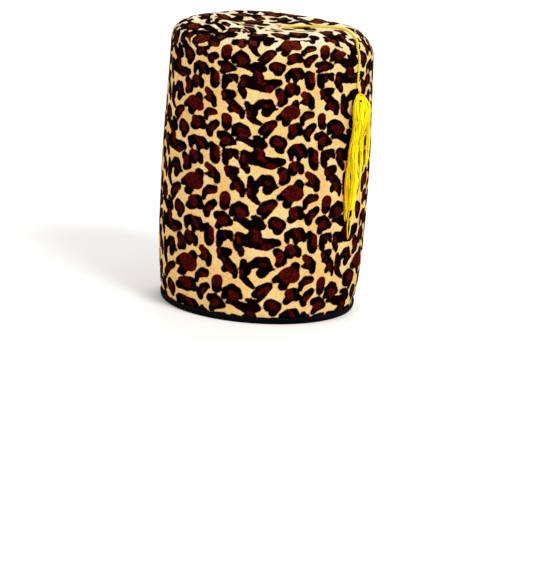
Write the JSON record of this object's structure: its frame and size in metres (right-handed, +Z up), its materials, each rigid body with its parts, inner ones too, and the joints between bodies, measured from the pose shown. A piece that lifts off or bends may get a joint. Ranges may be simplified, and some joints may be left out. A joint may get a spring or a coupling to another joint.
{
  "type": "tall fez hat with cord and tassel",
  "caption": "Tall soft fez in leopard-print plush with a rolled, sunken top, a narrow black bound rim, and a yellow cord and tassel hanging at the side.",
  "frame": {"origin": "middle of the rim's oval, on the surface that the hat rests on", "axes": "+Z up through the top, -Y towards the front of the hat, +X towards the wearer's left side, where the tassel hangs a little towards the front"},
  "size_m": [0.1906, 0.2032, 0.2611],
  "materials": {
    "plush_side": "short pile, matt, leopard print",
    "plush_top": "short pile, matt, leopard print",
    "black_binding": "matt woven tape",
    "yellow_yarn": "soft twisted yarn"
  },
  "bodies": {
    "root": {"crown_side": "plush_side", "crown_top": "plush_top", "rim_binding": "black_binding", "cord_anchor": "yellow_yarn", "tassel_cord": "yellow_yarn", "tassel": "yellow_yarn"}
  },
  "joints": []
}
